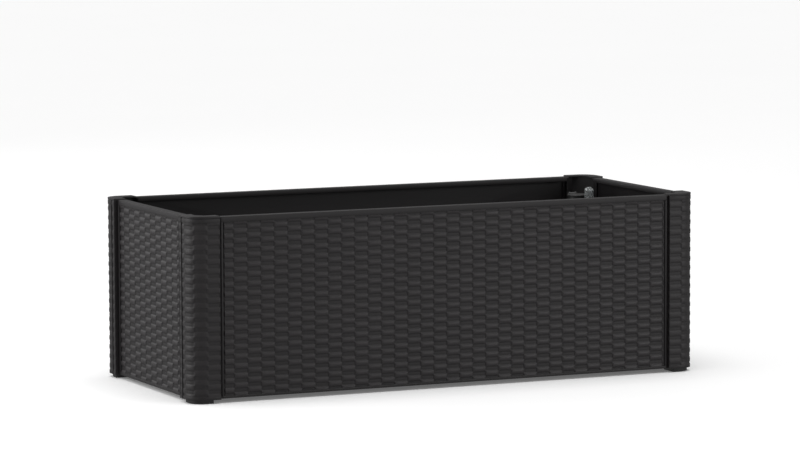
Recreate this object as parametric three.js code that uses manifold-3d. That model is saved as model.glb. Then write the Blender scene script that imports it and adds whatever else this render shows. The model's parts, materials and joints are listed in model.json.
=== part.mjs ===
// Low rectangular garden planter, moulded in a woven-strip pattern: four wall panels slide into four
// corner posts on short feet, and two water trays with lift-out soil platforms stand on cross beams.
// Millimetres, +X along the length, +Y to the rear, +Z up. The origin is on the ground under the centre.

import * as THREE from 'three';
import { mergeVertices } from 'three/addons/utils/BufferGeometryUtils.js';
import Module from 'manifold-3d';

const wasm = await Module();
wasm.setup();

// ---------------------------------------------------------------- driving dimensions

const LENGTH = 1000;
const DEPTH = 430;
const HEIGHT = 330;
const GAP = 0.3;                 // air left between two pieces that touch

const POST_WIDTH = 56;           // along each outer face, from the corner
const POST_RADIUS = 30;
const POST_WALL = 3;
const POST_BOTTOM = 7;
const POST_INNER = 13.5;         // depth of the post behind the wall panels
const WEB = 2.5;                 // inner walls of a post

const TOP_PLATE_CHAMFER = 12;    // inner corner of a post's top plate
const END_LINE = { from: 41.5, to: 45, depth: 1.6 };   // fine upright line on a post's end face

// A panel's tongue and the slot for it, measured in from the outer face, on the long walls and the ends.
const SLOT_BACK = 46.5;
const SLOT_ROOM = [3, 11.5];
const MOUTH_START = 53.5;
const SLOT_TOP = HEIGHT - 3;
const LONG = { face: 4.7, mouth: [5.9, 9.7], tongue: [6.4, 9.2] };
const END = { face: 7.9, mouth: [7.4, 11.2], tongue: [7.9, 10.7] };
const TONGUE_HEAD = [4.2, 10.8];
const HEAD_TIP = 48;
const HEAD_BACK = 52;
const TONGUE_ROOT = 3;           // how far a tongue runs into its panel
const TONGUE_TOP = SLOT_TOP - 1.3;

const PANEL_TOP = 328;
const PANEL_BOTTOM = 8;
const PANEL_WALL = 3;
const PANEL_EDGE = 59.5;         // woven field ends here, measured from the corner
const RIM_DEPTH = 23;            // top flange, measured in from the outer face
const RIM_LIP = 8;
const RIM_SKIN = 2.5;
const LEDGE_DEPTH = 20;          // bottom flange that carries the cross beams
const BAND_PROUD = 0.5;          // plain bands above and below the weave
const TOP_BAND = 9;
const BOTTOM_BAND = 4;
const RIM_END_GAP = 0.4;
const BOSS = { half: 20, depth: 22, skin: 6, drop: 24, hole: 2.9, holeDepth: 16 };

const FOOT_INSET = 6;
const FOOT_SIDE = 38;
const SOCKET_DEPTH = 19;
const SOCKET_STEP = 1;
const SPIGOT_PLAY = 0.4;
const FOOT_WALL = 2.5;
const FOOT_FLOOR = 3;

const BEAM_WIDTH = 40;
const BEAM_HEIGHT = 15;
const BEAM_WALL = 2.5;
const BEAM_PITCH = 210;
const BEAM_END_GAP = 1.5;

const TRAY_WALL = 2.5;
const TRAY_HEIGHT = 58;
const TRAY_SIDE_GAP = 16;        // from the outer face to the tray's side
const TRAY_CENTRE_GAP = 3;
const TRAY_CHAMFER = 30;
const COLUMN_RADIUS = 12;
const COLUMN_TAPER = 1;
const COLUMN_WALL = 3;
const COLUMN_DROP = 6.1;         // tops of the columns, below the tray's rim
const COLUMN_X = [60, 240, 400];
const COLUMN_Y = 110;
const DRAIN_X = 60;
const DRAIN_RADIUS = 9;
const OVERFLOW_RADIUS = 5;
const OVERFLOW_DROP = 9;
const PLUG = { flange: 14, skin: 2.6, stemPlay: 0.6, rise: 3, tip: 1.5, bar: 1.6, reach: 10, drop: 4 };
const SEAL = { inner: 9.4, outer: 13, skin: 1.5 };

const PLATFORM_SKIN = 3;
const PLATFORM_GAP = 0.9;
const PLATFORM_HOLE = 4;
const HOLE_GRID = { start: 40, end: 460, pitch: 70, rows: [-165, -82.5, 0, 82.5, 165], margin: 4 };
const BARE_CORNER = [440, 150];  // no holes beyond this, where the tray's corner is cut off
const BASKET_X = [150, 330];
const BASKET_TOP_RADIUS = 46;
const BASKET_BOTTOM_RADIUS = 38;
const BASKET_FLANGE = 52;
const BASKET_WALL = 2;
const BASKET_PLAY = 1;
const BASKET_FLOOR_GAP = 1.4;
const BASKET_SLOT = { width: 4, height: 30, middle: 22, pairs: 4 };

const TIE_WIDTH = 30;
const TIE_SKIN = 4;
const TIE_SEAT = 232;
const TIE_SCREW_Y = 200;
const TIE_END_GAP = 1;
const TIE_HOLE = 3.2;
const TIE_RIB = { half: 2, inset: 26, height: 16 };
const SCREW = { shank: 2.5, length: 13, tip: 2, head: 5, edge: 1.6, dome: 3.6, crown: 3.1 };
const SCREW_CROSS = { half: 0.5, reach: 2.4, depth: 1.7 };

const TUBE_X = 440;
const FILL_TUBE = { y: 150, outer: 17, inner: 14.5, bottom: 36, top: 296, flange: 24 };
const GAUGE_TUBE = {
  y: 100, outer: 11, inner: 9, bottom: 34, top: 280, flange: 16, mouth: 6, floor: 2,
};
const FLANGE_SKIN = 2.5;
const TUBE_PLAY = 0.5;
const HINGE = { y: 171, z: 298, pin: 1.5, pinPlay: 0.3, pinReach: 8.4, knuckle: 3, half: 4.6, ear: 3.5 };
const EAR = { inner: 5, outer: 8 };
const LID = { radius: 19, edge: 2, top: 3, bevel: 1.5, plug: 3, plugPlay: 1 };
const LID_TAB = { half: 6, reach: 24, root: 17 };
const CAP = { plug: 5, brim: 2, wall: 2, height: 36.5, shoulder: 31 };
const FLOAT = { play: 1.4, height: 20, chamfer: 1 };
const ROD = { radius: 1.5, end: 3, foot: 2, tipLength: 8, above: 2 };

const beamBottom = PANEL_BOTTOM + RIM_SKIN + GAP;
const trayBottom = beamBottom + BEAM_HEIGHT + GAP;
const trayFloor = trayBottom + TRAY_WALL;
const trayTop = trayBottom + TRAY_HEIGHT;
const columnTop = trayTop - COLUMN_DROP;
const platformBottom = columnTop + GAP;
const platformTop = platformBottom + PLATFORM_SKIN;
const flangeBottom = platformTop + GAP;

// ---------------------------------------------------------------- finishes

const finish = (color, roughness, metalness = 0) => ({ color, roughness, metalness });
const WOVEN_PLASTIC = finish(0x2f2d2e, 0.55);
const BASE_PLASTIC = finish(0x1d1d1e, 0.6);
const PLATFORM_PLASTIC = finish(0x3a3a3b, 0.6);
const RUBBER = finish(0x111111, 0.9);
const ZINC = finish(0xb9bcc0, 0.35, 1);
const FLOAT_FOAM = finish(0xe4e2dc, 0.7);
const RED_PLASTIC = finish(0xb3201c, 0.45);
const CLEAR_PLASTIC = finish(0xdfe6e8, 0.1);

// ---------------------------------------------------------------- solids

const planter = new THREE.Group();

function toSolid(geometry) {
  const bare = geometry.clone();
  bare.deleteAttribute('normal');
  bare.deleteAttribute('uv');
  const welded = mergeVertices(bare, 1e-4);
  return new wasm.Manifold(new wasm.Mesh({
    numProp: 3,
    vertProperties: new Float32Array(welded.attributes.position.array),
    triVerts: new Uint32Array(welded.index.array),
  }));
}

function toGeometry(solid) {
  const mesh = solid.getMesh();
  const geometry = new THREE.BufferGeometry();
  geometry.setAttribute('position', new THREE.BufferAttribute(mesh.vertProperties, 3));
  geometry.setIndex(new THREE.BufferAttribute(mesh.triVerts, 1));
  geometry.computeVertexNormals();
  return geometry;
}

function addPiece(name, solid, { color, roughness, metalness }) {
  const mesh = new THREE.Mesh(
    toGeometry(solid),
    new THREE.MeshStandardMaterial({ color, roughness, metalness }),
  );
  mesh.name = name;
  planter.add(mesh);
}

const unite = (solids) => solids.reduce((whole, solid) => whole.add(solid));
const cutAll = (body, cutters) => cutters.reduce((rest, cutter) => rest.subtract(cutter), body);

// Outline given as [x, y] points, extruded between two heights.
function slab(points, bottom, top) {
  const shape = new THREE.Shape(points.map(([x, y]) => new THREE.Vector2(x, y)));
  const geometry = new THREE.ExtrudeGeometry(shape, { depth: top - bottom, bevelEnabled: false });
  return toSolid(geometry.translate(0, 0, bottom));
}

// Section given as [y, z] points, extruded from one x to another.
function bar(points, from, to) {
  const shape = new THREE.Shape(points.map(([y, z]) => new THREE.Vector2(y, z)));
  const geometry = new THREE.ExtrudeGeometry(shape, { depth: to - from, bevelEnabled: false });
  const turn = new THREE.Matrix4().set(0, 0, 1, from, 1, 0, 0, 0, 0, 1, 0, 0, 0, 0, 0, 1);
  return toSolid(geometry.applyMatrix4(turn));
}

// Section given as [x, z] points, extruded from one y to another.
function crossBar(points, from, to) {
  const shape = new THREE.Shape(points.map(([x, z]) => new THREE.Vector2(z, x)));
  const geometry = new THREE.ExtrudeGeometry(shape, { depth: to - from, bevelEnabled: false });
  const turn = new THREE.Matrix4().set(0, 1, 0, 0, 0, 0, 1, from, 1, 0, 0, 0, 0, 0, 0, 1);
  return toSolid(geometry.applyMatrix4(turn));
}

function block([x0, x1], [y0, y1], [z0, z1]) {
  const geometry = new THREE.BoxGeometry(x1 - x0, y1 - y0, z1 - z0);
  return toSolid(geometry.translate((x0 + x1) / 2, (y0 + y1) / 2, (z0 + z1) / 2));
}

// Upright solid of revolution: [radius, z] points that start and end on the axis or close on themselves.
function turned(points, x, y, sides = 24) {
  const profile = points.map(([radius, z]) => new THREE.Vector2(radius, z));
  const geometry = new THREE.LatheGeometry(profile, sides);
  geometry.rotateX(Math.PI / 2);
  return toSolid(geometry.translate(x, y, 0));
}

function rod(radius, bottom, top, x, y, sides = 24) {
  const geometry = new THREE.CylinderGeometry(radius, radius, top - bottom, sides);
  geometry.rotateX(Math.PI / 2);
  return toSolid(geometry.translate(x, y, (bottom + top) / 2));
}

function rodAlongX(radius, from, to, y, z, sides = 20) {
  const geometry = new THREE.CylinderGeometry(radius, radius, to - from, sides);
  geometry.rotateZ(Math.PI / 2);
  return toSolid(geometry.translate((from + to) / 2, y, z));
}

function roundedCorner(inset, radius, steps = 8) {
  const centre = inset + radius;
  return Array.from({ length: steps + 1 }, (_, step) => {
    const angle = (Math.PI / 2) * (step / steps);
    return [centre - radius * Math.sin(angle), centre - radius * Math.cos(angle)];
  });
}

// ---------------------------------------------------------------- corner posts and feet

const CORNERS = [
  { name: 'front_left', sx: -1, sy: -1 },
  { name: 'front_right', sx: 1, sy: -1 },
  { name: 'rear_left', sx: -1, sy: 1 },
  { name: 'rear_right', sx: 1, sy: 1 },
];

// A point measured inwards from the two outer faces that meet at a corner.
const fromCorner = ({ sx, sy }) => ([a, b]) => [sx * (LENGTH / 2 - a), sy * (DEPTH / 2 - b)];

// Inside outline of a post; grow widens it evenly.
function hollowOutline(grow) {
  const wall = POST_WALL - grow;
  const web = SLOT_BACK - WEB + grow;
  const diagonal = POST_INNER + SLOT_BACK - WEB + (grow - WEB) * Math.SQRT2;
  return [[web, wall], ...roundedCorner(wall, POST_RADIUS - wall), [wall, web],
    [diagonal - web, web], [web, diagonal - web]];
}

function cornerPost(corner) {
  const place = fromCorner(corner);
  const cut = (points, top) => slab(points.map(place), POST_BOTTOM - 1, top);
  const back = SLOT_BACK - WEB;
  const outline = [[POST_WIDTH, 0], ...roundedCorner(0, POST_RADIUS), [0, POST_WIDTH],
    [POST_INNER, POST_WIDTH], [POST_INNER, back], [back, POST_INNER], [POST_WIDTH, POST_INNER]];
  const topPlate = [[POST_WIDTH, 0], ...roundedCorner(0, POST_RADIUS), [0, POST_WIDTH],
    [RIM_DEPTH, POST_WIDTH], [RIM_DEPTH, RIM_DEPTH + TOP_PLATE_CHAMFER],
    [RIM_DEPTH + TOP_PLATE_CHAMFER, RIM_DEPTH], [POST_WIDTH, RIM_DEPTH]];
  const box = (a0, a1, [b0, b1]) => [[a0, b0], [a1, b0], [a1, b1], [a0, b1]];
  const slot = ({ mouth }) => [box(SLOT_BACK, MOUTH_START, SLOT_ROOM),
    box(SLOT_BACK + 1, POST_WIDTH + 1, mouth)];
  const swap = (points) => points.map(([a, b]) => [b, a]);
  const endLine = swap(box(END_LINE.from, END_LINE.to, [-1, END_LINE.depth]));
  const body = slab(outline.map(place), POST_BOTTOM, HEIGHT)
    .add(slab(topPlate.map(place), SLOT_TOP, HEIGHT));
  return cutAll(body, [
    cut(hollowOutline(0), SLOT_TOP),
    cut(hollowOutline(SOCKET_STEP), POST_BOTTOM + SOCKET_DEPTH),
    ...[...slot(LONG), ...slot(END).map(swap), endLine].map((points) => cut(points, SLOT_TOP)),
  ]);
}

function foot(corner) {
  const place = fromCorner(corner);
  const far = FOOT_INSET + FOOT_SIDE;
  const pad = [[far, FOOT_INSET], ...roundedCorner(FOOT_INSET, POST_RADIUS - FOOT_INSET),
    [FOOT_INSET, far], [far, far]];
  const spigotTop = POST_BOTTOM + SOCKET_DEPTH - GAP;
  const shoulder = POST_BOTTOM - GAP;
  const spigot = slab(hollowOutline(SOCKET_STEP - SPIGOT_PLAY).map(place), shoulder - 1, spigotTop);
  const padCut = slab(pad.map(place), shoulder - 1, spigotTop);
  const cup = slab(hollowOutline(-FOOT_WALL).map(place), shoulder + FOOT_FLOOR, spigotTop + 1);
  return slab(pad.map(place), 0, shoulder).add(spigot.intersect(padCut)).subtract(cup);
}

for (const corner of CORNERS) {
  addPiece(`corner_post_${corner.name}`, cornerPost(corner), WOVEN_PLASTIC);
  addPiece(`foot_${corner.name}`, foot(corner), BASE_PLASTIC);
}

// ---------------------------------------------------------------- wall panels

// Section of a wall with its face at the given depth, as [depth, z].
function wallSection(face) {
  const band = face - BAND_PROUD;
  const back = face + PANEL_WALL;
  const underRim = PANEL_TOP - RIM_SKIN;
  const ledgeTop = PANEL_BOTTOM + RIM_SKIN;
  return [[band, PANEL_TOP], [band, PANEL_TOP - TOP_BAND], [face, PANEL_TOP - TOP_BAND - BAND_PROUD],
    [face, PANEL_BOTTOM + BOTTOM_BAND + BAND_PROUD], [band, PANEL_BOTTOM + BOTTOM_BAND],
    [band, PANEL_BOTTOM], [LEDGE_DEPTH, PANEL_BOTTOM], [LEDGE_DEPTH, ledgeTop], [back, ledgeTop],
    [back, underRim], [RIM_DEPTH - RIM_SKIN, underRim], [RIM_DEPTH - RIM_SKIN, PANEL_TOP - RIM_LIP],
    [RIM_DEPTH, PANEL_TOP - RIM_LIP], [RIM_DEPTH, PANEL_TOP]];
}

// The rim alone, which runs on past the wall to the posts.
function rimSection(face) {
  const band = face - BAND_PROUD;
  const underRim = PANEL_TOP - RIM_SKIN;
  return [[band, PANEL_TOP], [band, underRim], [RIM_DEPTH, underRim], [RIM_DEPTH, PANEL_TOP]];
}

// Tongue with a wider head, as [along, in] from the corner.
function tongueOutline([front, back]) {
  const root = PANEL_EDGE + TONGUE_ROOT;
  return [[root, front], [HEAD_BACK, front], [HEAD_BACK, TONGUE_HEAD[0]], [HEAD_TIP, TONGUE_HEAD[0]],
    [HEAD_TIP, TONGUE_HEAD[1]], [HEAD_BACK, TONGUE_HEAD[1]], [HEAD_BACK, back], [root, back]];
}

function longPanel(sy) {
  const half = LENGTH / 2 - PANEL_EDGE;
  const reach = LENGTH / 2 - POST_WIDTH - RIM_END_GAP;
  const place = ([b, z]) => [sy * (DEPTH / 2 - b), z];
  const tongues = [-1, 1].map((sx) => slab(
    tongueOutline(LONG.tongue).map(fromCorner({ sx, sy })), PANEL_BOTTOM, TONGUE_TOP));
  const wall = LONG.face + PANEL_WALL - BAND_PROUD;
  const boss = bar([[wall, TIE_SEAT], [BOSS.depth, TIE_SEAT], [BOSS.depth, TIE_SEAT - BOSS.skin],
    [wall, TIE_SEAT - BOSS.drop]].map(place), -BOSS.half, BOSS.half);
  const screwHole = rod(
    BOSS.hole, TIE_SEAT - BOSS.holeDepth, TIE_SEAT + 1, 0, sy * TIE_SCREW_Y, 16);
  return unite([
    bar(wallSection(LONG.face).map(place), -half, half),
    bar(rimSection(LONG.face).map(place), -reach, reach),
    ...tongues, boss,
  ]).subtract(screwHole);
}

function endPanel(sx) {
  const half = DEPTH / 2 - PANEL_EDGE;
  const reach = DEPTH / 2 - POST_WIDTH - RIM_END_GAP;
  const place = ([a, z]) => [sx * (LENGTH / 2 - a), z];
  const tongues = [-1, 1].map((sy) => slab(
    tongueOutline(END.tongue).map(([along, depth]) => fromCorner({ sx, sy })([depth, along])),
    PANEL_BOTTOM, TONGUE_TOP));
  return unite([
    crossBar(wallSection(END.face).map(place), -half, half),
    crossBar(rimSection(END.face).map(place), -reach, reach),
    ...tongues,
  ]);
}

addPiece('front_panel', longPanel(-1), WOVEN_PLASTIC);
addPiece('rear_panel', longPanel(1), WOVEN_PLASTIC);
addPiece('left_end_panel', endPanel(-1), WOVEN_PLASTIC);
addPiece('right_end_panel', endPanel(1), WOVEN_PLASTIC);

// ---------------------------------------------------------------- cross beams and tie bar

function crossBeam(centre) {
  const half = BEAM_WIDTH / 2;
  const inner = half - BEAM_WALL;
  const top = beamBottom + BEAM_HEIGHT;
  const section = [[-half, beamBottom], [-half, top], [half, top], [half, beamBottom],
    [inner, beamBottom], [inner, top - BEAM_WALL], [-inner, top - BEAM_WALL], [-inner, beamBottom]];
  const reach = DEPTH / 2 - LONG.face - PANEL_WALL - BEAM_END_GAP;
  return crossBar(section.map(([x, z]) => [centre + x, z]), -reach, reach);
}

['far_left', 'left', 'centre', 'right', 'far_right'].forEach((place, index) => {
  addPiece(`base_beam_${place}`, crossBeam((index - 2) * BEAM_PITCH), BASE_PLASTIC);
});

function tieBar() {
  const reach = DEPTH / 2 - LONG.face - PANEL_WALL - TIE_END_GAP;
  const ribReach = reach - TIE_RIB.inset;
  const bottom = TIE_SEAT + GAP;
  const top = bottom + TIE_SKIN;
  const plate = block([-TIE_WIDTH / 2, TIE_WIDTH / 2], [-reach, reach], [bottom, top]);
  const ribRoom = [bottom + 1, bottom + TIE_RIB.height];
  const rib = block([-TIE_RIB.half, TIE_RIB.half], [-ribReach, ribReach], ribRoom);
  const holes = [-1, 1].map((side) => rod(TIE_HOLE, bottom - 1, top + 1, 0, side * TIE_SCREW_Y, 16));
  return cutAll(plate.add(rib), holes);
}

function tieScrew(y) {
  const { shank, length, tip, head, edge, dome, crown } = SCREW;
  const { half, reach, depth } = SCREW_CROSS;
  const seat = TIE_SEAT + GAP + TIE_SKIN + GAP;
  const shape = turned([[0, TIE_SEAT - length], [shank, TIE_SEAT - length + tip], [shank, seat],
    [head, seat], [head, seat + edge], [dome, seat + crown - 0.2], [0, seat + crown]], 0, y, 16);
  const room = [seat + crown - depth, seat + crown + 1];
  return cutAll(shape, [block([-reach, reach], [y - half, y + half], room),
    block([-half, half], [y - reach, y + reach], room)]);
}

addPiece('tie_bar', tieBar(), BASE_PLASTIC);
addPiece('tie_bar_screw_front', tieScrew(-TIE_SCREW_Y), ZINC);
addPiece('tie_bar_screw_rear', tieScrew(TIE_SCREW_Y), ZINC);

// ---------------------------------------------------------------- water trays, drain plugs

// Tray outline with chamfered corners beside the posts; inset shrinks it evenly.
function trayOutline(side, inset) {
  const near = TRAY_CENTRE_GAP + inset;
  const far = LENGTH / 2 - TRAY_SIDE_GAP - inset;
  const half = DEPTH / 2 - TRAY_SIDE_GAP - inset;
  const chamfer = TRAY_CHAMFER - inset * (2 - Math.SQRT2);
  return [[near, -half], [far - chamfer, -half], [far, -half + chamfer], [far, half - chamfer],
    [far - chamfer, half], [near, half]].map(([x, y]) => [side * x, y]);
}

const columnPlaces = (side) => COLUMN_X.flatMap((x) => [[side * x, -COLUMN_Y], [side * x, COLUMN_Y]]);

function waterTray(side) {
  const shell = slab(trayOutline(side, 0), trayBottom, trayTop)
    .subtract(slab(trayOutline(side, TRAY_WALL), trayFloor, trayTop + 1));
  const bore = COLUMN_RADIUS - COLUMN_WALL;
  const columns = columnPlaces(side).map(([x, y]) => turned(
    [[0, trayFloor - 1], [COLUMN_RADIUS, trayFloor - 1], [COLUMN_RADIUS - COLUMN_TAPER, columnTop],
      [bore, columnTop], [bore, trayFloor + 1], [0, trayFloor + 1]], x, y, 12));
  const drain = rod(DRAIN_RADIUS, trayBottom - 1, trayFloor + 1, side * DRAIN_X, 0, 20);
  const end = side * (LENGTH / 2 - TRAY_SIDE_GAP - TRAY_WALL / 2);
  const overflow = rodAlongX(
    OVERFLOW_RADIUS, end - TRAY_WALL, end + TRAY_WALL, 0, platformBottom - OVERFLOW_DROP, 12);
  return cutAll(unite([shell, ...columns]), [drain, overflow]);
}

const plugTop = trayBottom - SEAL.skin;
const plugBottom = plugTop - PLUG.skin;

function drainPlug(side) {
  const x = side * DRAIN_X;
  const stem = DRAIN_RADIUS - PLUG.stemPlay;
  const stemTop = trayFloor + PLUG.rise;
  const body = turned([[0, plugBottom], [PLUG.flange, plugBottom], [PLUG.flange, plugTop],
    [stem, plugTop], [stem, stemTop], [stem - PLUG.tip, stemTop + PLUG.tip], [0, stemTop + PLUG.tip]], x, 0);
  return body.add(block(
    [x - PLUG.bar, x + PLUG.bar], [-PLUG.reach, PLUG.reach], [plugBottom - PLUG.drop, plugBottom + 1]));
}

function drainSeal(side) {
  const { inner, outer } = SEAL;
  const bottom = plugTop + GAP;
  const top = trayBottom - GAP;
  return turned([[inner, bottom], [outer, bottom], [outer, top], [inner, top], [inner, bottom]],
    side * DRAIN_X, 0);
}

const SIDES = [{ name: 'left', side: -1 }, { name: 'right', side: 1 }];

for (const { name, side } of SIDES) {
  addPiece(`water_tray_${name}`, waterTray(side), BASE_PLASTIC);
  addPiece(`drain_plug_${name}`, drainPlug(side), BASE_PLASTIC);
  addPiece(`drain_seal_${name}`, drainSeal(side), RUBBER);
}

// ---------------------------------------------------------------- soil platforms and wick baskets

// Drain holes on a square grid, left out where a basket or a tube goes through.
function drainHoles(side) {
  const obstacles = [...BASKET_X.map((x) => [x, 0, BASKET_FLANGE]),
    [TUBE_X, FILL_TUBE.y, FILL_TUBE.flange], [TUBE_X, GAUGE_TUBE.y, GAUGE_TUBE.flange]];
  const holes = [];
  for (let x = HOLE_GRID.start; x <= HOLE_GRID.end; x += HOLE_GRID.pitch) {
    for (const y of HOLE_GRID.rows) {
      const blocked = obstacles.some(
        ([ox, oy, radius]) => Math.hypot(x - ox, y - oy) < radius + PLATFORM_HOLE + HOLE_GRID.margin);
      const inCorner = x > BARE_CORNER[0] && Math.abs(y) > BARE_CORNER[1];
      if (!blocked && !inCorner) {
        holes.push(rod(PLATFORM_HOLE, platformBottom - 1, platformTop + 1, side * x, y, 8));
      }
    }
  }
  return holes;
}

function soilPlatform(side) {
  const baskets = BASKET_X.map((x) => rod(
    BASKET_TOP_RADIUS + BASKET_PLAY, platformBottom - 1, platformTop + 1, side * x, 0, 24));
  const tubes = side < 0 ? [] : [FILL_TUBE, GAUGE_TUBE].map((tube) => rod(
    tube.outer + TUBE_PLAY, platformBottom - 1, platformTop + 1, TUBE_X, tube.y, 24));
  const plate = slab(trayOutline(side, TRAY_WALL + PLATFORM_GAP), platformBottom, platformTop);
  return cutAll(plate, [...baskets, ...tubes, ...drainHoles(side)]);
}

function wickBasket(x) {
  const bottom = trayFloor + BASKET_FLOOR_GAP;
  const top = flangeBottom + FLANGE_SKIN;
  const under = flangeBottom - FLANGE_SKIN;
  const cup = turned([[0, bottom], [BASKET_BOTTOM_RADIUS, bottom], [BASKET_TOP_RADIUS, under],
    [BASKET_TOP_RADIUS, flangeBottom], [BASKET_FLANGE, flangeBottom], [BASKET_FLANGE, top],
    [BASKET_TOP_RADIUS - BASKET_WALL, top], [BASKET_TOP_RADIUS - BASKET_WALL, under],
    [BASKET_BOTTOM_RADIUS - BASKET_WALL, bottom + BASKET_WALL], [0, bottom + BASKET_WALL]], x, 0);
  const { width, height, middle, pairs } = BASKET_SLOT;
  const slots = Array.from({ length: pairs }, (_, index) => {
    const geometry = new THREE.BoxGeometry(width, 3 * BASKET_TOP_RADIUS, height);
    geometry.rotateZ((index + 0.5) * (Math.PI / pairs));
    return toSolid(geometry.translate(x, 0, bottom + middle));
  });
  return cutAll(cup, slots);
}

for (const { name, side } of SIDES) {
  addPiece(`soil_platform_${name}`, soilPlatform(side), PLATFORM_PLASTIC);
  addPiece(`wick_basket_${name}_inner`, wickBasket(side * BASKET_X[0]), PLATFORM_PLASTIC);
  addPiece(`wick_basket_${name}_outer`, wickBasket(side * BASKET_X[1]), PLATFORM_PLASTIC);
}

// ---------------------------------------------------------------- fill tube with its lid

function fillTube() {
  const { y, outer, inner, bottom, top, flange } = FILL_TUBE;
  const tube = turned([[inner, bottom], [outer, bottom], [outer, flangeBottom], [flange, flangeBottom],
    [flange, flangeBottom + FLANGE_SKIN], [outer, flangeBottom + FLANGE_SKIN], [outer, top], [inner, top],
    [inner, bottom]], TUBE_X, y);
  const root = y + (inner + outer) / 2;
  const { ear, pin, pinPlay } = HINGE;
  const front = HINGE.y - ear;
  const back = HINGE.y + ear;
  const bevel = ear - pin;
  const earOutline = [[root, top - 12], [root, top - 0.5], [front, top + 0.8], [front, HINGE.z + bevel],
    [front + bevel, HINGE.z + ear], [back - bevel, HINGE.z + ear], [back, HINGE.z + bevel], [back, top - 3]];
  const ears = [-1, 1].map((side) => {
    const ends = [TUBE_X + side * EAR.inner, TUBE_X + side * EAR.outer].sort((p, q) => p - q);
    return bar(earOutline, ...ends).subtract(
      rodAlongX(pin + pinPlay, ends[0] - 1, ends[1] + 1, HINGE.y, HINGE.z));
  });
  return unite([tube, ...ears]);
}

function fillLid() {
  const { y, inner, top } = FILL_TUBE;
  const { half, knuckle, pin, pinPlay } = HINGE;
  const bottom = top + GAP;
  const plug = inner - LID.plugPlay;
  const disc = turned([[0, bottom - LID.plug], [plug, bottom - LID.plug], [plug, bottom],
    [LID.radius, bottom], [LID.radius, bottom + LID.edge], [LID.radius - LID.bevel, bottom + LID.top],
    [0, bottom + LID.top]], TUBE_X, y, 32);
  const earRoom = [-1, 1].map((side) => {
    const ends = [TUBE_X + side * half, TUBE_X + side * 2 * LID.radius].sort((p, q) => p - q);
    return block(ends, [HINGE.y - half, HINGE.y + 2 * half], [bottom - LID.plug - 1, bottom + LID.top + 1]);
  });
  const arm = block([TUBE_X - half, TUBE_X + half], [y + inner - 0.5, HINGE.y], [bottom, HINGE.z + 1.3]);
  const barrel = rodAlongX(knuckle, TUBE_X - half, TUBE_X + half, HINGE.y, HINGE.z);
  const pinHole = rodAlongX(pin + pinPlay, TUBE_X - half - 1, TUBE_X + half + 1, HINGE.y, HINGE.z);
  const tab = block([TUBE_X - LID_TAB.half, TUBE_X + LID_TAB.half],
    [y - LID_TAB.reach, y - LID_TAB.root], [bottom + 0.5, bottom + 2.5]);
  return unite([cutAll(disc, earRoom), arm, barrel, tab]).subtract(pinHole);
}

const hingePin = rodAlongX(
  HINGE.pin, TUBE_X - HINGE.pinReach, TUBE_X + HINGE.pinReach, HINGE.y, HINGE.z);

addPiece('fill_tube', fillTube(), PLATFORM_PLASTIC);
addPiece('fill_lid', fillLid(), PLATFORM_PLASTIC);
addPiece('fill_lid_pin', hingePin, ZINC);

// ---------------------------------------------------------------- water-level gauge

function gaugeTube() {
  const { y, outer, inner, bottom, top, flange, mouth, floor } = GAUGE_TUBE;
  return turned([[mouth, bottom], [outer, bottom], [outer, flangeBottom], [flange, flangeBottom],
    [flange, flangeBottom + FLANGE_SKIN], [outer, flangeBottom + FLANGE_SKIN], [outer, top], [inner, top],
    [inner, bottom + floor], [mouth, bottom + floor], [mouth, bottom]], TUBE_X, y, 20);
}

// Clear domed cap: a plug in the tube's mouth, a brim on its end and a tall window above.
function gaugeCap() {
  const { y, outer, inner, top } = GAUGE_TUBE;
  const { plug, brim, wall, height, shoulder } = CAP;
  const seat = top + GAP;
  const bore = inner - wall;
  const crown = inner - 5;
  return turned([[bore, seat - plug], [inner - 0.5, seat - plug], [inner - 0.5, seat], [outer, seat],
    [outer, seat + brim], [inner, seat + brim + 0.5], [inner, seat + shoulder],
    [inner - 1.5, seat + shoulder + 3], [crown, seat + height - 0.5], [0, seat + height],
    [0, seat + height - wall], [crown, seat + height - wall - 0.5], [bore, seat + shoulder - 1],
    [bore, seat - plug]], TUBE_X, y, 20);
}

const floatBottom = GAUGE_TUBE.bottom + GAUGE_TUBE.floor + GAP;
const floatTop = floatBottom + FLOAT.height;

function gaugeFloat() {
  const radius = GAUGE_TUBE.inner - FLOAT.play;
  const { chamfer } = FLOAT;
  return turned([[0, floatBottom], [radius - chamfer, floatBottom], [radius, floatBottom + chamfer],
    [radius, floatTop - chamfer], [radius - chamfer, floatTop], [0, floatTop]],
  TUBE_X, GAUGE_TUBE.y, 20);
}

function gaugeRod() {
  const { radius, end, foot: footHeight, tipLength, above } = ROD;
  const tip = GAUGE_TUBE.top + above;
  const start = floatTop + GAP;
  return turned([[0, start], [end, start], [end, start + footHeight], [radius, start + footHeight + 1],
    [radius, tip - tipLength], [end, tip - tipLength + 1], [end, tip - 1], [end - 1, tip], [0, tip]],
  TUBE_X, GAUGE_TUBE.y, 16);
}

addPiece('gauge_tube', gaugeTube(), PLATFORM_PLASTIC);
addPiece('gauge_cap', gaugeCap(), CLEAR_PLASTIC);
addPiece('gauge_float', gaugeFloat(), FLOAT_FOAM);
addPiece('gauge_rod', gaugeRod(), RED_PLASTIC);

export default planter;
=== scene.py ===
"""Woven-look garden planter: moulded walls and corner posts with a woven relief, and the water system inside."""

import json
import math

import bpy
from mathutils import Matrix, Vector

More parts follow.
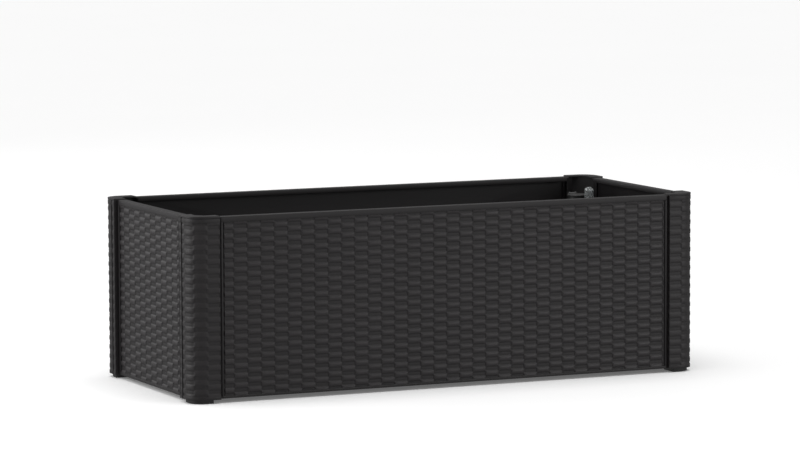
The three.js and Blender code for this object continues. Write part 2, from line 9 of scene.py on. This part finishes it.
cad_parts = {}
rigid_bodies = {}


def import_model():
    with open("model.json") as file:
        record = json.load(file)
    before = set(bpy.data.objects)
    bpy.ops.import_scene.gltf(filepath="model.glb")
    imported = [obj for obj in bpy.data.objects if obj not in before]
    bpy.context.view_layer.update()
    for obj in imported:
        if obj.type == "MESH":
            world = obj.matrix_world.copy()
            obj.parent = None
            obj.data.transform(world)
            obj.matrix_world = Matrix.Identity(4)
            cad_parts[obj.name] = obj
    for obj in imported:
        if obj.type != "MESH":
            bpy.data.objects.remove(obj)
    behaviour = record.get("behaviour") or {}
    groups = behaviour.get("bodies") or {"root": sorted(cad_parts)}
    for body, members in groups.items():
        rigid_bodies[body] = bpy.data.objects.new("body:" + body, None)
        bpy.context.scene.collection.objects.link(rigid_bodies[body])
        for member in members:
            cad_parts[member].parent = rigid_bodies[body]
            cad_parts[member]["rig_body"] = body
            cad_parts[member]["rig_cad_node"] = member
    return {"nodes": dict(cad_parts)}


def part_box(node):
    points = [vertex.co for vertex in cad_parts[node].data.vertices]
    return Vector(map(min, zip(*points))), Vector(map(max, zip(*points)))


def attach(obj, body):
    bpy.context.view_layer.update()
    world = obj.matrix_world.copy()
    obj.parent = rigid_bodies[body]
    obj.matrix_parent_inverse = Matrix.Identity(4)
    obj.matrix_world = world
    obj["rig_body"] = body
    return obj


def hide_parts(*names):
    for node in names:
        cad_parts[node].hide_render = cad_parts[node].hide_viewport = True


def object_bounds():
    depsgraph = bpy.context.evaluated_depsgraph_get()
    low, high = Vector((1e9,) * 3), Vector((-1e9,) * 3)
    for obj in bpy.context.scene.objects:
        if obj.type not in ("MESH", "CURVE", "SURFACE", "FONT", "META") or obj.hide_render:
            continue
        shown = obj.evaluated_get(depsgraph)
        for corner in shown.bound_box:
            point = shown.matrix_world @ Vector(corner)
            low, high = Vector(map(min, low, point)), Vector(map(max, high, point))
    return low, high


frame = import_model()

cad_low, cad_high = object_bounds()

MM = 0.001
TOUCH = 1e-6                  # points closer than this are at the same place
CORNERS = ("front_left", "front_right", "rear_left", "rear_right")
SIDES = ("left", "right")

# ---------------------------------------------------------------- the woven relief's sizes

COLUMN = 26.0 * MM            # spacing of the upright stakes, as modelled
ROW = 8.5 * MM                # spacing of the level strands
CELL_STEPS = (8, 6)           # faces along and up one crossing
# Rings of a crossing from its edge inwards, as shares of half its length and of half its height,
# and how far each ring stands out where the strand is in front, and sinks where the stake shows
RING_PLACES = ((0.05, 0.20), (0.26, 0.52), (0.58, 1.00))
STRAND_SHARES = (0.35, 0.70, 0.93, 1.00)
STAKE_SHARES = (1.00, 0.80, 0.62, 0.55)
PANEL_RISE, PANEL_DIP = 1.15 * MM, 0.75 * MM
POST_RISE, POST_DIP = 0.45 * MM, 0.45 * MM
# Long walls and end walls: spacing of their stakes, and where the nearest stake is from their middle
LONG_WEAVE, END_WEAVE = (25.74 * MM, 7.6 * MM), (26.0 * MM, 13.0 * MM)
FIRST_ROW, WEAVE_ROWS = 8.4 * MM, 38
WEAVE_BOTTOM, WEAVE_TOP = 12.5 * MM, 318.5 * MM   # plain bands below and above the weave

# ---------------------------------------------------------------- the walls' and posts' sizes

LONG_FACE, END_FACE = 4.7 * MM, 7.9 * MM   # woven faces, behind the posts' faces
PANEL_EDGE = 59.5 * MM        # end of a wall panel, from the corner
BEAD, GROOVE = 3.0 * MM, 3.0 * MM   # upright bead and the groove beside it, at each end of a wall
BEAD_RISE = 0.3 * MM
PANEL_POCKET, SLAB_DEPTH = 2.4 * MM, 3.1 * MM   # pocket in a wall's face, and the woven slab that fills it
CREST_PROUD = 0.5 * MM        # crowns of a wall panel's weave, in front of its flat face
POST_WIDTH, POST_RADIUS = 56 * MM, 30 * MM
POST_COLUMNS = 4              # stakes round one post
POST_POCKET, POST_BORDER = 1.8 * MM, 0.6 * MM   # pocket in a post's face, and the border left round it
POST_SETBACK = 0.1 * MM       # crowns of a post's weave, behind its outline
POST_SKIN = 1.6 * MM          # thickness of a post's woven skin
END_LINE = (40.9 * MM, 45.6 * MM)   # fine upright line on a post's end face, from the corner
CAP_LINE = (325.4 * MM, 326.8 * MM)   # fine level line under a post's cap
CAP_LINE_BORDER, CAP_LINE_DEPTH = 0.05 * MM, 0.9 * MM

LID_HEIGHT = 6.0 * MM         # the filler lid's disc, from its underside
LID_RIM, LID_DISH = 2.5 * MM, 0.8 * MM

# ---------------------------------------------------------------- the studio's and the camera's values

AMBIENT, OVERHEAD, RIGHT_BOX, LEFT_BOX, BACK_BOX = 0.30, 2.0, 2.1, 2.9, 0.8
OVERHEAD_SPREAD = math.radians(60)
CAMERA_AZIMUTH, CAMERA_TILT, CAMERA_ROLL = math.radians(-24.63), math.radians(6.04), math.radians(-0.20)
CAMERA_DISTANCE, CAMERA_LENS = 7.68, 188.4
CAMERA_TARGET = Vector((-0.0008, 0, 0.2583))


# ---------------------------------------------------------------- editing helpers

def deselect():
    if bpy.context.object and bpy.context.object.mode != "OBJECT":
        bpy.ops.object.mode_set(mode="OBJECT")
    bpy.ops.object.select_all(action="DESELECT")


def focus(piece):
    deselect()
    piece.select_set(True)
    bpy.context.view_layer.objects.active = piece


def edit(piece, kind="FACE"):
    focus(piece)
    bpy.ops.object.mode_set(mode="EDIT")
    bpy.ops.mesh.select_mode(type=kind)
    bpy.ops.mesh.select_all(action="DESELECT")


def pick_faces(piece, test):
    """Leaves the piece in edit mode with the faces that pass test(centre, normal) selected."""
    edit(piece, "FACE")
    bpy.ops.object.mode_set(mode="OBJECT")
    for face in piece.data.polygons:
        face.select = test(face.center, face.normal)
    bpy.ops.object.mode_set(mode="EDIT")


def pick_points(piece, test):
    edit(piece, "VERT")
    bpy.ops.object.mode_set(mode="OBJECT")
    for point in piece.data.vertices:
        point.select = test(point.co)
    bpy.ops.object.mode_set(mode="EDIT")


def pick_open_edges(piece):
    edit(piece, "EDGE")
    bpy.ops.mesh.select_non_manifold(extend=False, use_wire=False, use_multi_face=False,
                                     use_non_contiguous=False, use_verts=False)


def done():
    bpy.ops.object.mode_set(mode="OBJECT")


def cut_at(piece, point, normal, clear_outer=False):
    edit(piece)
    bpy.ops.mesh.select_all(action="SELECT")
    bpy.ops.mesh.bisect(plane_co=point, plane_no=normal, clear_outer=clear_outer)
    done()


def settle(piece):
    focus(piece)
    bpy.ops.object.transform_apply(location=True, rotation=True, scale=True)


def weld(piece, distance=TOUCH):
    edit(piece, "VERT")
    bpy.ops.mesh.select_all(action="SELECT")
    bpy.ops.mesh.remove_doubles(threshold=distance)
    done()


def face_outwards(piece):
    edit(piece)
    bpy.ops.mesh.select_all(action="SELECT")
    bpy.ops.mesh.normals_make_consistent(inside=False)
    done()


def twin(piece, name):
    copy = piece.copy()
    copy.data = piece.data.copy()
    copy.name = copy.data.name = name
    bpy.context.scene.collection.objects.link(copy)
    return copy


def join(pieces, name):
    focus(pieces[0])
    for piece in pieces:
        piece.select_set(True)
    bpy.ops.object.join()
    whole = bpy.context.object
    whole.name = whole.data.name = name
    return whole


def apply_modifier(piece, kind, **settings):
    focus(piece)
    modifier = piece.modifiers.new(kind.lower(), kind)
    for key, value in settings.items():
        setattr(modifier, key, value)
    bpy.ops.object.modifier_apply(modifier=modifier.name)


def repeat(piece, count, step):
    apply_modifier(piece, "ARRAY", count=count, use_relative_offset=False, use_constant_offset=True,
                   constant_offset_displace=step, use_merge_vertices=True, merge_threshold=1e-5)


def soften(piece, width=0.5 * MM, segments=2, angle=30):
    apply_modifier(piece, "BEVEL", width=width, segments=segments, limit_method="ANGLE",
                   angle_limit=math.radians(angle), use_clamp_overlap=True)


def smooth(piece, angle=35):
    focus(piece)
    bpy.ops.object.shade_smooth_by_angle(angle=math.radians(angle))


def level_shading(piece):
    """Keeps broad flat faces evenly lit beside their rounded edges."""
    apply_modifier(piece, "WEIGHTED_NORMAL", weight=100, keep_sharp=True)


def cad_copy(node, name):
    """A welded copy of a CAD node, with its flat faces whole again."""
    piece = twin(frame["nodes"][node], name)
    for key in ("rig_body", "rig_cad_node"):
        if key in piece:
            del piece[key]
    piece.parent = None
    piece.data.materials.clear()
    focus(piece)
    bpy.ops.mesh.customdata_custom_splitnormals_clear()
    weld(piece)
    edit(piece)
    bpy.ops.mesh.select_all(action="SELECT")
    bpy.ops.mesh.dissolve_limited(angle_limit=math.radians(0.5))
    done()
    return piece


def finish_piece(piece, body, node, slot):
    piece.data.materials.clear()
    piece.data.materials.append(FINISHES[slot])
    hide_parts(node)
    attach(piece, body)
    return piece


# ---------------------------------------------------------------- the woven relief

def crossing(height, shares):
    """One cell of the weave, facing -Y: a strand's crown if height is above 0, the stake behind it if below."""
    bpy.ops.mesh.primitive_grid_add(x_subdivisions=CELL_STEPS[0], y_subdivisions=CELL_STEPS[1], size=1,
                                    rotation=(math.radians(90), 0, 0))
    cell = bpy.context.object
    cell.scale = (COLUMN, ROW, 1)
    settle(cell)
    reach_x, reach_z = COLUMN / 2, ROW / 2
    level = 0
    for share in shares:
        reach_x = max(reach_x - COLUMN / CELL_STEPS[0], 0)
        reach_z = max(reach_z - ROW / CELL_STEPS[1], 0)
        pick_points(cell, lambda p: abs(p.x) < reach_x + TOUCH and abs(p.z) < reach_z + TOUCH)
        bpy.ops.transform.translate(value=(0, level - share * height, 0))
        level = share * height
        done()
    spread_rings(cell)
    return cell


def spread_rings(cell):
    """Moves the cell's lines of points towards its edge, so that its ends are steep."""
    half_x, half_z = COLUMN / 2, ROW / 2
    for ring, (along, up) in enumerate(RING_PLACES, start=1):
        for side in (-1, 1):
            line_x = side * (half_x - ring * COLUMN / CELL_STEPS[0])
            pick_points(cell, lambda p: abs(p.x - line_x) < TOUCH)
            bpy.ops.transform.translate(value=(side * (1 - along) * half_x - line_x, 0, 0))
            done()
            line_z = side * (half_z - ring * ROW / CELL_STEPS[1])
            if abs(line_z) > TOUCH:
                pick_points(cell, lambda p: abs(p.z - line_z) < TOUCH)
                bpy.ops.transform.translate(value=(0, 0, side * (1 - up) * half_z - line_z))
                done()


def woven_sheet(name, columns, rise, dip, bump_first):
    """A level sheet of weave facing -Y, from x = 0 and z = 0, columns wide and WEAVE_ROWS tall."""
    cells = []
    for column in range(2):
        for row in range(2):
            in_front = (column + row + (0 if bump_first else 1)) % 2 == 0
            cell = crossing(rise, STRAND_SHARES) if in_front else crossing(-dip, STAKE_SHARES)
            cell.location = ((column + 0.5) * COLUMN, 0, (row + 0.5) * ROW)
            settle(cell)
            cells.append(cell)
    sheet = join(cells, name)
    weld(sheet, 1e-5)
    # the weave's height, which the woven finish turns into painted highlight on the crowns and painted shade in the
    # dips
    relief = sheet.data.attributes.new("relief", "FLOAT", "POINT")
    for point, height in zip(sheet.data.vertices, relief.data):
        height.value = (dip - point.co.y) / (PANEL_RISE + PANEL_DIP)
    repeat(sheet, math.ceil(columns / 2), (2 * COLUMN, 0, 0))
    repeat(sheet, WEAVE_ROWS // 2, (0, 0, 2 * ROW))
    return sheet


def move_points(piece, offset):
    edit(piece, "VERT")
    bpy.ops.mesh.select_all(action="SELECT")
    bpy.ops.transform.translate(value=offset)
    done()


def close_back(sheet, back):
    """Gives a level sheet square sides and a flat back at y = back."""
    pick_open_edges(sheet)
    bpy.ops.mesh.extrude_edges_move(TRANSFORM_OT_translate={"value": (0, back, 0)})
    bpy.ops.transform.resize(value=(1, 0, 1), center_override=(0, back, 0))
    bpy.ops.mesh.edge_face_add()
    done()


def cut_level(sheet):
    """Trims the weave to the plain bands above and below it."""
    cut_at(sheet, (0, 0, WEAVE_BOTTOM), (0, 0, -1), clear_outer=True)
    cut_at(sheet, (0, 0, WEAVE_TOP), (0, 0, 1), clear_outer=True)


# ---------------------------------------------------------------- wall panels

def woven_slab(name, half_width, spacing, stake):
    """The woven field of a wall panel, crest at y = 0, with a stake's middle at x = stake."""
    half_columns = math.ceil(half_width / COLUMN) + 1
    sheet = woven_sheet(name, 2 * half_columns + 2, PANEL_RISE, PANEL_DIP, bump_first=half_columns % 2 == 0)
    sheet.scale = (spacing / COLUMN, 1, 1)
    sheet.location = (stake - (half_columns + 0.5) * spacing, PANEL_RISE, FIRST_ROW)
    settle(sheet)
    for side in (-1, 1):
        cut_at(sheet, (side * half_width, 0, 0), (side, 0, 0), clear_outer=True)
    cut_level(sheet)
    close_back(sheet, SLAB_DEPTH)
    face_outwards(sheet)
    return sheet


# The four walls: CAD node, record's side of the box, turn about the upright axis
PANELS = {
    "front_panel": ("x", 0),
    "right_end_panel": ("y", 90),
    "rear_panel": ("x", 180),
    "left_end_panel": ("y", -90),
}


def wall_panel(node, along, turn):
    length = (cad_high - cad_low).x if along == "x" else (cad_high - cad_low).y
    depth = (cad_high - cad_low).y if along == "x" else (cad_high - cad_low).x
    half = length / 2 - PANEL_EDGE
    field = half - BEAD - GROOVE
    place = Matrix.Rotation(math.radians(turn), 4, "Z")
    wall = cad_copy(node, node + "_wall")
    wall.data.transform(place.inverted())
    face = -depth / 2 + (LONG_FACE if along == "x" else END_FACE)
    for x in (-half + BEAD, -field, field, half - BEAD):
        cut_at(wall, (x, 0, 0), (1, 0, 0))

    def on_face(centre, normal):
        return normal.y < -0.9 and abs(centre.y - face) < 1e-4 and WEAVE_BOTTOM < centre.z < WEAVE_TOP

    pick_faces(wall, lambda c, n: on_face(c, n) and abs(c.x) < half - BEAD)
    bpy.ops.mesh.extrude_region_move(TRANSFORM_OT_translate={"value": (0, PANEL_POCKET, 0)})
    done()
    pick_faces(wall, lambda c, n: on_face(c, n) and abs(c.x) > half - BEAD)
    bpy.ops.mesh.extrude_region_move(TRANSFORM_OT_translate={"value": (0, -BEAD_RISE, 0)})
    done()
    soften(wall, 0.45 * MM)
    slab = woven_slab(node + "_slab", field, *(LONG_WEAVE if along == "x" else END_WEAVE))
    move_points(slab, (0, face - CREST_PROUD, 0))
    panel = join([wall, slab], node + "_woven")
    panel.data.transform(place)
    smooth(panel, 50)
    return panel


# ---------------------------------------------------------------- corner posts

def post_path():
    """The outer line of a post, seen from above: a flat, a quarter circle and a flat."""
    flat, radius = POST_WIDTH - POST_RADIUS, POST_RADIUS
    handle = radius * 4 / 3 * math.tan(math.radians(90 / 4))
    far = flat + radius
    stops = [
        ((0, 0), (-flat / 3, 0), (flat / 3, 0)),
        ((flat, 0), (flat * 2 / 3, 0), (flat + handle, 0)),
        ((far, radius), (far, radius - handle), (far, radius + flat / 3)),
        ((far, radius + flat), (far, radius + flat * 2 / 3), (far, radius + flat * 4 / 3)),
    ]
    bpy.ops.curve.primitive_bezier_curve_add()
    path = bpy.context.object
    spline = path.data.splines[0]
    spline.bezier_points.add(len(stops) - len(spline.bezier_points))
    for point, (place, before, after) in zip(spline.bezier_points, stops):
        point.handle_left_type = point.handle_right_type = "FREE"
        point.co, point.handle_left, point.handle_right = (*place, 0), (*before, 0), (*after, 0)
    spline.resolution_u = 48
    path.data.twist_mode = "Z_UP"
    return path


def post_skin(name, line_first):
    """Woven skin of the front right post, wrapped round its corner, which is at the origin. The fine upright
    line, where the skin is left open, is on the face it starts on or on the other one."""
    around = 2 * (POST_WIDTH - POST_RADIUS) + POST_RADIUS * math.pi / 2
    sheet = woven_sheet(name, POST_COLUMNS, POST_RISE, POST_DIP, bump_first=False)
    sheet.scale = ((around - 2 * POST_BORDER) / (POST_COLUMNS * COLUMN), 1, 1)
    sheet.location = (POST_BORDER, POST_RISE + POST_SETBACK, FIRST_ROW)
    settle(sheet)
    cut_level(sheet)
    line = [POST_WIDTH - edge for edge in END_LINE]
    start, end = sorted(line if line_first else [around - edge for edge in line])
    for edge in (start, end):
        cut_at(sheet, (edge, 0, 0), (1, 0, 0))
    pick_faces(sheet, lambda c, n: start < c.x < end)
    bpy.ops.mesh.delete(type="FACE")
    done()
    path = post_path()
    apply_modifier(sheet, "CURVE", object=path, deform_axis="POS_X")
    bpy.data.objects.remove(path)
    move_points(sheet, (-POST_WIDTH, 0, 0))
    apply_modifier(sheet, "SOLIDIFY", thickness=POST_SKIN, offset=-1)
    face_outwards(sheet)
    return sheet


POST_TURN = {"front_right": 0, "rear_right": 90, "rear_left": 180, "front_left": 270}


def corner_post(skin, corner):
    node = "corner_post_" + corner
    low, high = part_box(node)
    outer = Vector((high.x if "right" in corner else low.x, low.y if "front" in corner else high.y, 0))
    place = Matrix.Translation(outer) @ Matrix.Rotation(math.radians(POST_TURN[corner]), 4, "Z")
    post = cad_copy(node, node + "_body")
    post.data.transform(place.inverted())
    for z in (WEAVE_BOTTOM, WEAVE_TOP, *CAP_LINE):
        cut_at(post, (0, 0, z), (0, 0, 1))
    centre = Vector((-POST_RADIUS, POST_RADIUS, 0))

    def on_outside(c, n, bottom, top):
        level = Vector((c.x, c.y, 0)) - centre
        on_arc = level.x > 0 and level.y < 0 and level.length > POST_RADIUS - 0.5 * MM
        on_flat = c.y < 0.01 * MM or c.x > -0.01 * MM
        return (on_arc or on_flat) and bottom < c.z < top and abs(n.z) < 0.5

    pick_faces(post, lambda c, n: on_outside(c, n, WEAVE_BOTTOM, WEAVE_TOP))
    bpy.ops.mesh.inset(thickness=POST_BORDER, depth=-POST_POCKET, use_even_offset=True)
    done()
    pick_faces(post, lambda c, n: on_outside(c, n, *CAP_LINE))
    bpy.ops.mesh.inset(thickness=CAP_LINE_BORDER, depth=-CAP_LINE_DEPTH, use_even_offset=True)
    done()
    soften(post, 0.5 * MM)
    post = join([post, twin(skin, node + "_skin")], node + "_woven")
    post.data.transform(place)
    smooth(post, 50)
    return post


# ---------------------------------------------------------------- finishes

class Value:
    """A shader socket with arithmetic: an expression on values adds its Math nodes."""

    def __init__(self, finish, socket):
        self.finish, self.socket = finish, socket

    def math(self, operation, *others, **settings):
        sockets = [self.socket] + [getattr(other, "socket", other) for other in others]
        return self.finish.node("Math", {"operation": operation, **settings}, dict(enumerate(sockets)))

    def __add__(self, other): return self.math("ADD", other)
    def __mul__(self, other): return self.math("MULTIPLY", other)
    def __sub__(self, other): return self.math("SUBTRACT", other)
    def __neg__(self): return self * -1
    def __rsub__(self, other): return -self + other
    def __pow__(self, other): return self.math("POWER", other)
    __radd__, __rmul__ = __add__, __mul__

    def held(self):
        return self.math("ADD", 0, use_clamp=True)


class Finish:
    """A material: a Principled shader and the nodes that feed it."""

    def __init__(self, name, **constants):
        self.material = bpy.data.materials.new(name)
        self.material.use_nodes = True
        self.tree = self.material.node_tree
        self.shader = self.tree.nodes["Principled BSDF"]
        for socket, value in constants.items():
            self.shader.inputs[socket.replace("_", " ")].default_value = value

    def node(self, kind, settings=(), inputs=(), output=0):
        made = self.tree.nodes.new("ShaderNode" + kind)
        for key, value in dict(settings).items():
            if key == "stops":
                self.set_ramp(made.color_ramp, value)
            else:
                setattr(made, key, value)
        for key, value in dict(inputs).items():
            self.feed(made.inputs[key], value)
        return Value(self, made.outputs[output])

    def set_ramp(self, ramp, stops):
        while len(ramp.elements) < len(stops):
            ramp.elements.new(1)
        for element, (position, colour) in zip(ramp.elements, stops):
            element.position, element.color = position, colour

    def feed(self, socket, value):
        source = getattr(value, "socket", value)
        if isinstance(source, bpy.types.NodeSocket):
            self.tree.links.new(source, socket)
        else:
            socket.default_value = source

    def place(self, stretch=(1, 1, 1)):
        point = self.node("TexCoord", output="Object")
        return self.node("Mapping", inputs={"Vector": point, "Scale": stretch})

    def noise(self, scale, detail=3, stretch=(1, 1, 1), roughness=0.5):
        return self.node("TexNoise", inputs={"Vector": self.place(stretch), "Scale": scale,
                                             "Detail": detail, "Roughness": roughness})

    def blend(self, share, first, second):
        return self.node("Mix", {"data_type": "RGBA"}, {0: share, 6: first, 7: second}, output=2)

    def set(self, socket, value):
        self.feed(self.shader.inputs[socket], value)

    def relief(self, height, distance, strength=1.0):
        bump = self.node("Bump", inputs={"Height": height, "Distance": distance, "Strength": strength})
        self.set("Normal", bump)


def grey(level, warmth=0.0):
    return (level * (1 + warmth), level, level * (1 - warmth), 1)


def woven_plastic():
    """Satin near-black polypropylene: fine moulded grain and faint level streaks, with painted highlight on the
    weave's crowns and painted shade in its dips.
    """
    finish = Finish("woven plastic", Specular_IOR_Level=0.42)
    crown = finish.node("Attribute", {"attribute_name": "relief"}, output="Fac").held()
    patches = finish.noise(9, detail=2)
    streaks = finish.noise(60, detail=4, stretch=(1, 1, 9))
    grain = finish.noise(1500, detail=2)
    # crown paints highlight on the weave's crowns and shade in its dips; patches and streaks are the plastic's own
    # tone
    tone = (crown * 0.6 + patches * 0.25 + streaks * 0.3 - 0.1).held()
    finish.set("Base Color", finish.blend(tone, (0.0096, 0.0082, 0.0088, 1), (0.0255, 0.0221, 0.0237, 1)))
    finish.set("Roughness", (0.42 + streaks * 0.12 + grain * 0.06 - crown * 0.08).held())
    finish.relief(grain * 0.5 + streaks * 0.5, 0.06 * MM, 0.5)
    return finish.material


def moulded_plastic(name, level, roughness=0.5, warmth=0.01):
    """Plain moulded plastic: fine grain, cloudy flow marks and dusty patches."""
    finish = Finish(name, Specular_IOR_Level=0.5)
    clouds = finish.noise(14, detail=4)
    grain = finish.noise(1300, detail=2)
    scuffs = finish.noise(220, detail=3, stretch=(1, 3, 1))
    tone = (clouds * 0.7 + scuffs * 0.5 - 0.15).held()
    finish.set("Base Color", finish.blend(tone, grey(level * 0.8, warmth), grey(level * 1.3, warmth)))
    finish.set("Roughness", (roughness - 0.08 + clouds * 0.1 + scuffs * 0.12).held())
    finish.relief(grain * 0.6 + scuffs * 0.4, 0.06 * MM, 0.5)
    return finish.material


def seal_rubber():
    finish = Finish("seal rubber", Specular_IOR_Level=0.35)
    bloom = finish.noise(90, detail=4)
    grain = finish.noise(1800, detail=2)
    finish.set("Base Color", finish.blend(bloom, grey(0.007), grey(0.017)))
    finish.set("Roughness", (0.72 + bloom * 0.15 + grain * 0.08).held())
    finish.relief(grain, 0.05 * MM, 0.6)
    return finish.material


def zinc_plate():
    """Zinc-plated steel: fine drawn lines, cloudy spangle and duller patches."""
    finish = Finish("zinc plate", Metallic=1.0)
    cloud = finish.noise(350, detail=4)
    lines = finish.noise(900, detail=3, stretch=(0.2, 1, 1))
    finish.set("Base Color", finish.blend(cloud, grey(0.42), (0.62, 0.63, 0.65, 1)))
    finish.set("Roughness", (0.24 + cloud * 0.2 + lines * 0.12).held())
    finish.relief(lines * 0.6 + cloud * 0.4, 0.03 * MM, 0.6)
    return finish.material


def clear_acrylic():
    """Clear moulded acrylic with a little haze and fine handling scratches."""
    finish = Finish("clear acrylic", Transmission_Weight=0.9, IOR=1.49)
    haze = finish.noise(120, detail=3)
    scratches = finish.noise(1200, detail=2, stretch=(1, 1, 0.1))
    finish.set("Base Color", finish.blend(haze, (0.86, 0.90, 0.91, 1), (0.95, 0.97, 0.97, 1)))
    finish.set("Roughness", (0.03 + haze * 0.06 + scratches * 0.05).held())
    finish.relief(scratches, 0.01 * MM, 0.3)
    return finish.material


def float_foam():
    """Closed-cell foam: small round cells and a slightly yellowed skin."""
    finish = Finish("float foam", Specular_IOR_Level=0.3)
    cells = finish.node("TexVoronoi", inputs={"Vector": finish.place(), "Scale": 900.0})
    stain = finish.noise(70, detail=3)
    finish.set("Base Color", finish.blend(stain, (0.78, 0.76, 0.71, 1), (0.66, 0.62, 0.53, 1)))
    finish.set("Roughness", (0.7 + stain * 0.2).held())
    finish.relief(cells, 0.15 * MM, 0.7)
    return finish.material


def red_plastic():
    finish = Finish("red indicator plastic", Specular_IOR_Level=0.5)
    fade = finish.noise(60, detail=3)
    grain = finish.noise(1500, detail=2)
    finish.set("Base Color", finish.blend(fade, (0.50, 0.022, 0.016, 1), (0.62, 0.05, 0.035, 1)))
    finish.set("Roughness", (0.3 + fade * 0.12 + grain * 0.05).held())
    finish.relief(grain, 0.03 * MM, 0.4)
    return finish.material


FINISHES = {
    "woven_plastic": woven_plastic(),
    "foot_plastic": moulded_plastic("smooth foot plastic", 0.013),
    "frame_plastic": moulded_plastic("frame plastic", 0.019, 0.52),
    "tray_plastic": moulded_plastic("tray plastic", 0.016, 0.46),
    "platform_plastic": moulded_plastic("platform plastic", 0.038, 0.55),
    "basket_plastic": moulded_plastic("basket plastic", 0.030, 0.50),
    "tube_plastic": moulded_plastic("tube plastic", 0.034, 0.40),
    "plug_plastic": moulded_plastic("plug plastic", 0.020, 0.42),
    "seal_rubber": seal_rubber(),
    "zinc_steel": zinc_plate(),
    "clear_cap": clear_acrylic(),
    "float_foam": float_foam(),
    "red_indicator": red_plastic(),
}

# ---------------------------------------------------------------- making the outside

for node, (along, turn) in PANELS.items():
    finish_piece(wall_panel(node, along, turn), "planter_box", node, "woven_plastic")

skins = {line_first: post_skin("post_skin", line_first) for line_first in (True, False)}
for corner in CORNERS:
    skin = skins[POST_TURN[corner] % 180 == 90]
    finish_piece(corner_post(skin, corner), "planter_box", "corner_post_" + corner, "woven_plastic")
    foot = cad_copy("foot_" + corner, "foot_pad_" + corner)
    soften(foot, 0.9 * MM, 3)
    smooth(foot)
    finish_piece(foot, "planter_box", "foot_" + corner, "foot_plastic")
for skin in skins.values():
    bpy.data.objects.remove(skin)

# ---------------------------------------------------------------- the frame and the water system inside


def dressed(node, body, slot, edge=0.4 * MM, shape=None):
    """The CAD piece with its edges rounded as the mould leaves them, and the detail that shape adds."""
    piece = cad_copy(node, node + "_finished")
    if shape:
        shape(piece)
    soften(piece, edge)
    smooth(piece)
    level_shading(piece)
    return finish_piece(piece, body, node, slot)


def dished_lid(lid):
    """Sinks a shallow dish into the lid's top and leaves a raised rim."""
    disc_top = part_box("fill_lid")[0].z + LID_HEIGHT
    pick_faces(lid, lambda c, n: n.z > 0.99 and abs(c.z - disc_top) < 0.1 * MM)
    bpy.ops.mesh.inset(thickness=LID_RIM, depth=-LID_DISH, use_even_offset=True)
    done()


for place in ("far_left", "left", "centre", "right", "far_right"):
    dressed("base_beam_" + place, "planter_box", "frame_plastic", 0.6 * MM)
dressed("tie_bar", "planter_box", "frame_plastic", 0.5 * MM)
for place in ("front", "rear"):
    dressed("tie_bar_screw_" + place, "planter_box", "zinc_steel", 0.15 * MM)

for side in SIDES:
    platform = side + "_platform"
    dressed("water_tray_" + side, "planter_box", "tray_plastic", 0.5 * MM)
    dressed("soil_platform_" + side, platform, "platform_plastic", 0.4 * MM)
    for place in ("inner", "outer"):
        dressed(f"wick_basket_{side}_{place}", platform, "basket_plastic", 0.3 * MM)
    dressed("drain_plug_" + side, side + "_drain_plug", "plug_plastic", 0.4 * MM)
    dressed("drain_seal_" + side, side + "_drain_plug", "seal_rubber", 0.2 * MM)

dressed("fill_tube", "right_platform", "tube_plastic", 0.4 * MM)
dressed("fill_lid_pin", "right_platform", "zinc_steel", 0.2 * MM)
dressed("gauge_tube", "right_platform", "tube_plastic", 0.3 * MM)
dressed("gauge_cap", "right_platform", "clear_cap", 0.3 * MM)
dressed("fill_lid", "lid", "tube_plastic", 0.4 * MM, dished_lid)
dressed("gauge_float", "water_float", "float_foam", 0.3 * MM)
dressed("gauge_rod", "water_float", "red_indicator", 0.2 * MM)

# ---------------------------------------------------------------- floor, light and camera

def pale_floor():
    finish = Finish("pale floor", Roughness=0.7, Emission_Color=(1, 1, 1, 1), Emission_Strength=0.12)
    clouds = finish.noise(1.5, detail=3)
    finish.set("Base Color", finish.blend(clouds, grey(0.94), grey(0.96)))
    bpy.ops.mesh.primitive_plane_add(size=80)
    floor = bpy.context.object
    floor.name = "floor"
    floor.data.materials.append(finish.material)
    floor.visible_glossy = False


def lamp(kind, name, energy, place, target, **settings):
    data = bpy.data.lights.new(name, kind)
    data.energy = energy
    for key, value in settings.items():
        setattr(data, key, value)
    holder = bpy.data.objects.new(name, data)
    holder.visible_camera = False
    bpy.context.scene.collection.objects.link(holder)
    holder.location = place
    holder.rotation_euler = (Vector(target) - Vector(place)).to_track_quat("-Z", "Y").to_euler()


def softbox(name, brightness, width, height, place, target):
    lamp("AREA", name, math.pi * width * height * brightness, place, target,
         shape="RECTANGLE", size=width, size_y=height)


def studio():
    world = bpy.data.worlds.new("studio")
    world.use_nodes = True
    world.node_tree.nodes["Background"].inputs["Color"].default_value = (1, 1, 1, 1)
    world.node_tree.nodes["Background"].inputs["Strength"].default_value = AMBIENT
    bpy.context.scene.world = world
    bpy.context.scene.view_settings.view_transform = "Standard"
    lamp("SUN", "overhead", OVERHEAD, (0, -0.6, 5), (0, 0, 0), angle=OVERHEAD_SPREAD)
    softbox("right softbox", RIGHT_BOX, 1.9, 1.9, (2.3, -2.9, 0.9), (0.2, 0, 0.15))
    softbox("left softbox", LEFT_BOX, 1.8, 1.8, (-2.6, 0.6, 0.9), (-0.5, 0, 0.15))
    softbox("back wall", BACK_BOX, 4.0, 2.4, (-1.6, 3.6, 1.6), (0, 0, 0.15))


def camera():
    data = bpy.data.cameras.new("camera")
    data.lens = CAMERA_LENS
    data.clip_end = 200
    holder = bpy.data.objects.new("camera", data)
    bpy.context.scene.collection.objects.link(holder)
    back = Vector((math.sin(CAMERA_AZIMUTH) * math.cos(CAMERA_TILT),
                   -math.cos(CAMERA_AZIMUTH) * math.cos(CAMERA_TILT), math.sin(CAMERA_TILT)))
    holder.location = CAMERA_TARGET + back * CAMERA_DISTANCE
    turn = (-back).to_track_quat("-Z", "Y").to_matrix().to_4x4()
    roll = Matrix.Rotation(CAMERA_ROLL, 4, "Z")
    holder.rotation_euler = (turn @ roll).to_euler()
    bpy.context.scene.camera = holder


pale_floor()
studio()
camera()
